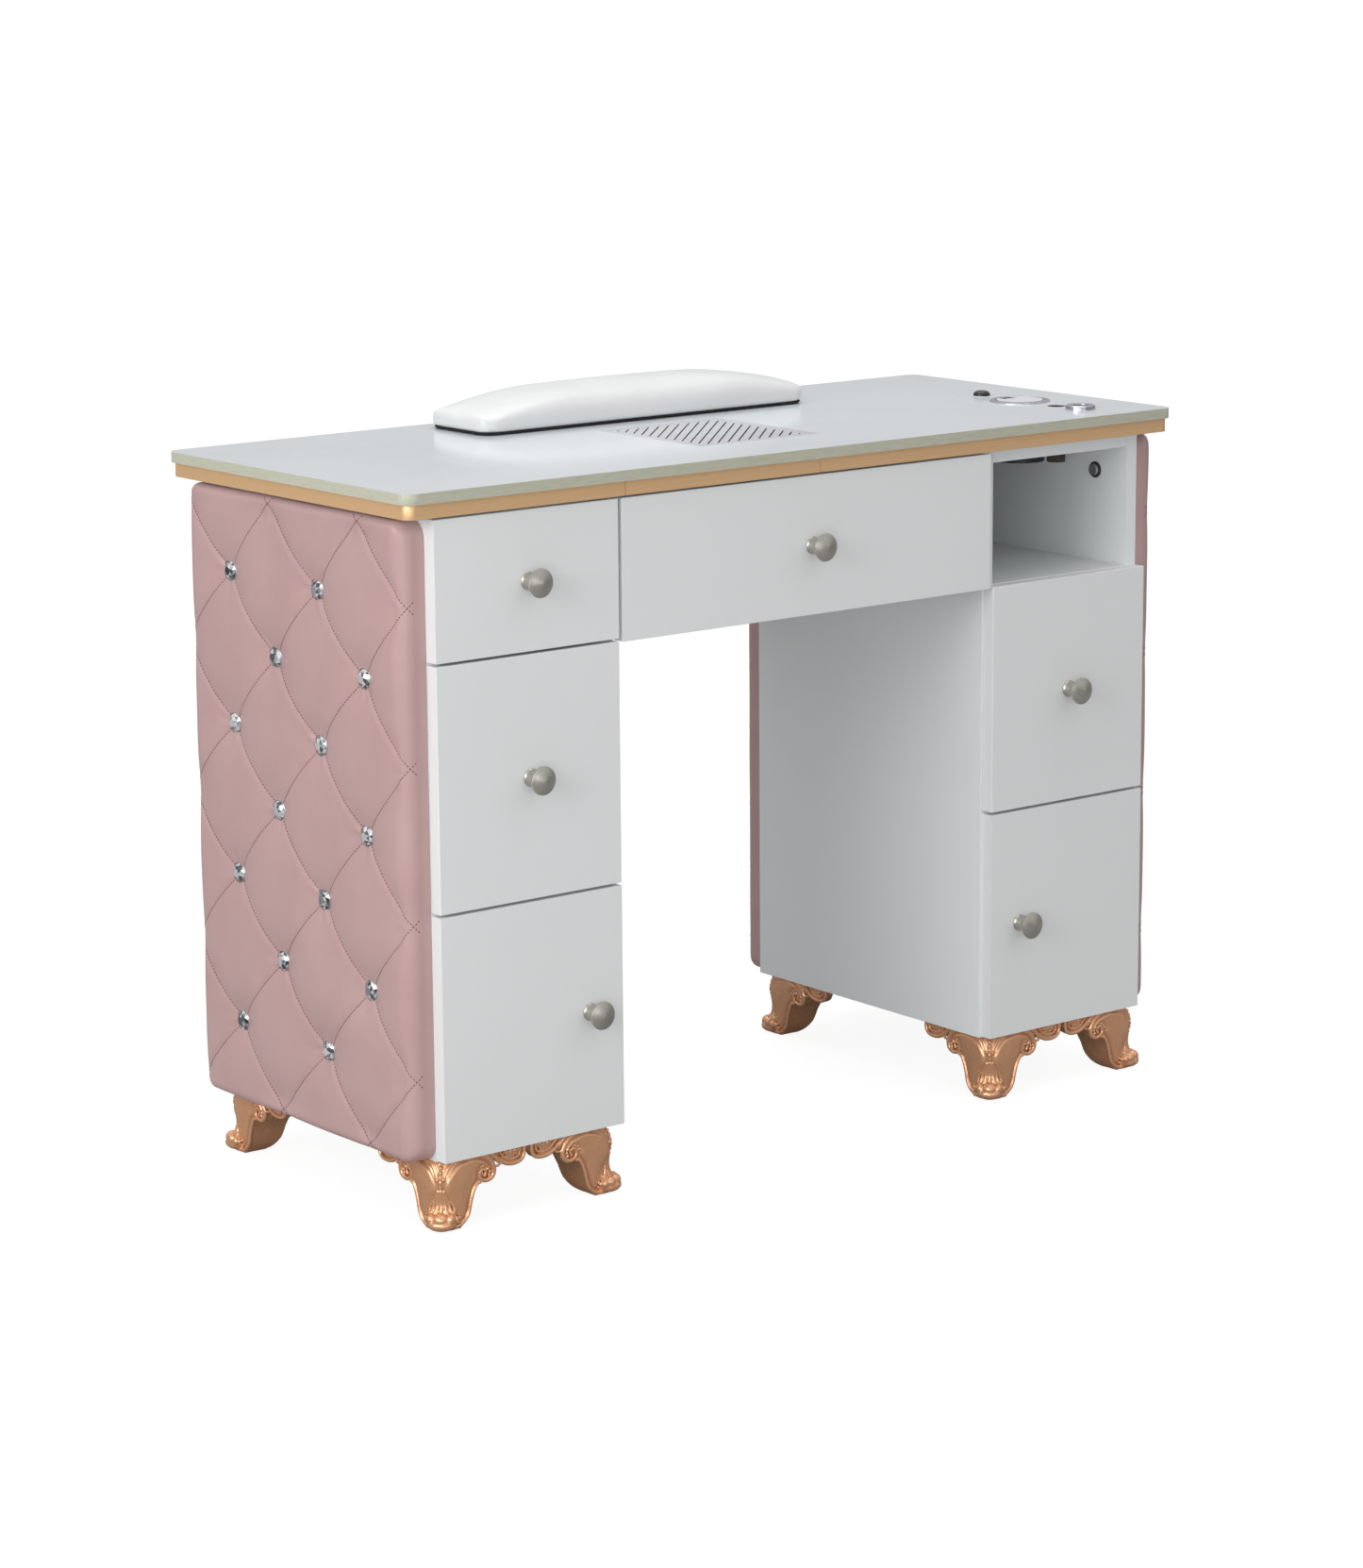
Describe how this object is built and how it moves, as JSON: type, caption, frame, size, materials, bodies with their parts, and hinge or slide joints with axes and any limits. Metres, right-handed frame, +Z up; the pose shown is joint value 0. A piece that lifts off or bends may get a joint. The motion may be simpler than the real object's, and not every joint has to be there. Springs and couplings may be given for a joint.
{
  "type": "manicure table",
  "caption": "Nail desk: marble-look top on two padded pedestals with drawers, doors, an open compartment, a dust collector and a loose wrist rest.",
  "frame": {"origin": "on the floor, at the centre of the whole table's box", "axes": "+X along the top's length, towards the end with the cable grommet; drawers face -Y; +Z up"},
  "size_m": [1.1, 0.483, 0.845],
  "materials": {
    "marble_slab": "polished pale blue-white marble look with faint grey veins, olive-grey cut edge",
    "cabinet_board": "white melamine-faced board, satin",
    "edge_trim": "brushed champagne gold",
    "front_lacquer": "cool white lacquer, satin",
    "drawer_board": "white board, matte",
    "knob_metal": "brushed nickel",
    "steel_fittings": "zinc plated",
    "pad_leather": "dusty pink faux leather",
    "crystal": "cut crystal",
    "foot_metal": "polished rose gold plating",
    "vent_metal": "fine brushed",
    "chrome": "polished",
    "black_plastic": "fine texture",
    "rest_leather": "white faux leather"
  },
  "bodies": {
    "table": {"stone_top": "marble_slab", "sub_top": "cabinet_board", "trim_left": "edge_trim", "trim_right": "edge_trim", "trim_front": "edge_trim", "trim_rear": "edge_trim", "left_outer_panel": "cabinet_board", "right_outer_panel": "cabinet_board", "left_inner_panel": "cabinet_board", "right_inner_panel": "cabinet_board", "pedestal_tops": "cabinet_board", "pedestal_bottoms": "cabinet_board", "door_dividers": "cabinet_board", "pedestal_backs": "cabinet_board", "compartment_floor": "cabinet_board", "apron_panel": "cabinet_board", "cabinet_slides": "steel_fittings", "hinge_plates": "steel_fittings", "left_side_pad": "pad_leather", "right_side_pad": "pad_leather", "left_back_pad": "pad_leather", "right_back_pad": "pad_leather", "apron_pad": "pad_leather", "crystal_buttons": "crystal", "corner_feet": "foot_metal", "dust_housing": "black_plastic", "fan_frame": "black_plastic", "speed_controller": "black_plastic", "grommet_ring": "chrome", "socket_bezel": "chrome", "pad_bolts": "steel_fittings"},
    "left_upper_drawer": {"left_upper_front": "front_lacquer", "left_upper_box": "drawer_board", "left_upper_sliders": "steel_fittings", "left_upper_knob": "knob_metal"},
    "left_middle_drawer": {"left_middle_front": "front_lacquer", "left_middle_box": "drawer_board", "left_middle_sliders": "steel_fittings", "left_middle_knob": "knob_metal"},
    "centre_drawer": {"centre_front": "front_lacquer", "centre_box": "drawer_board", "centre_sliders": "steel_fittings", "centre_knob": "knob_metal"},
    "right_middle_drawer": {"right_middle_front": "front_lacquer", "right_middle_box": "drawer_board", "right_middle_sliders": "steel_fittings", "right_middle_knob": "knob_metal"},
    "left_door_leaf": {"left_door": "front_lacquer", "left_hinge_cups": "steel_fittings", "left_door_knob": "knob_metal"},
    "right_door_leaf": {"right_door": "front_lacquer", "right_hinge_cups": "steel_fittings", "right_door_knob": "knob_metal"},
    "fan": {"fan_rotor": "black_plastic"},
    "speed_dial": {"speed_knob": "black_plastic"},
    "grommet_cover": {"grommet_cap": "chrome"},
    "socket_button": {"push_button": "black_plastic"},
    "wrist_rest": {"wrist_rest_base": "black_plastic", "wrist_rest_cushion": "rest_leather"},
    "vent_cover": {"vent_grille": "vent_metal"}
  },
  "joints": [
    {"name": "left_upper_slide", "type": "slide", "parent": "table", "child": "left_upper_drawer", "axis": [0, -1, 0], "range_m": [0, 0.28]},
    {"name": "left_middle_slide", "type": "slide", "parent": "table", "child": "left_middle_drawer", "axis": [0, -1, 0], "range_m": [0, 0.28]},
    {"name": "centre_slide", "type": "slide", "parent": "table", "child": "centre_drawer", "axis": [0, -1, 0], "range_m": [0, 0.28]},
    {"name": "right_middle_slide", "type": "slide", "parent": "table", "child": "right_middle_drawer", "axis": [0, -1, 0], "range_m": [0, 0.28]},
    {"name": "left_door_hinge", "type": "hinge", "parent": "table", "child": "left_door_leaf", "pos_m": [-0.5115, -0.1975, 0.2126], "axis": [0, 0, -1], "range_deg": [0, 90]},
    {"name": "right_door_hinge", "type": "hinge", "parent": "table", "child": "right_door_leaf", "pos_m": [0.5115, -0.1975, 0.2126], "axis": [0, 0, 1], "range_deg": [0, 90]},
    {"name": "fan_spin", "type": "hinge", "parent": "table", "child": "fan", "pos_m": [0, -0.032, 0.716], "axis": [0, 0, 1], "continuous": true},
    {"name": "speed_turn", "type": "hinge", "parent": "table", "child": "speed_dial", "pos_m": [0.4583, 0.0142, 0.8], "axis": [0, 0, -1], "range_deg": [0, 270]},
    {"name": "grommet_turn", "type": "hinge", "parent": "table", "child": "grommet_cover", "pos_m": [0.4583, -0.053, 0.8], "axis": [0, 0, 1], "range_deg": [-90, 90]},
    {"name": "button_press", "type": "slide", "parent": "table", "child": "socket_button", "axis": [0, 0, -1], "range_m": [0, 0.002], "stiffness_N_per_m": 300, "springref_m": -0.001},
    {"name": "wrist_rest_lift", "type": "slide", "parent": "table", "child": "wrist_rest", "axis": [0, 0, 1], "range_m": [0, 0.12]},
    {"name": "vent_lift", "type": "slide", "parent": "table", "child": "vent_cover", "axis": [0, 0, 1], "range_m": [0, 0.05]}
  ]
}
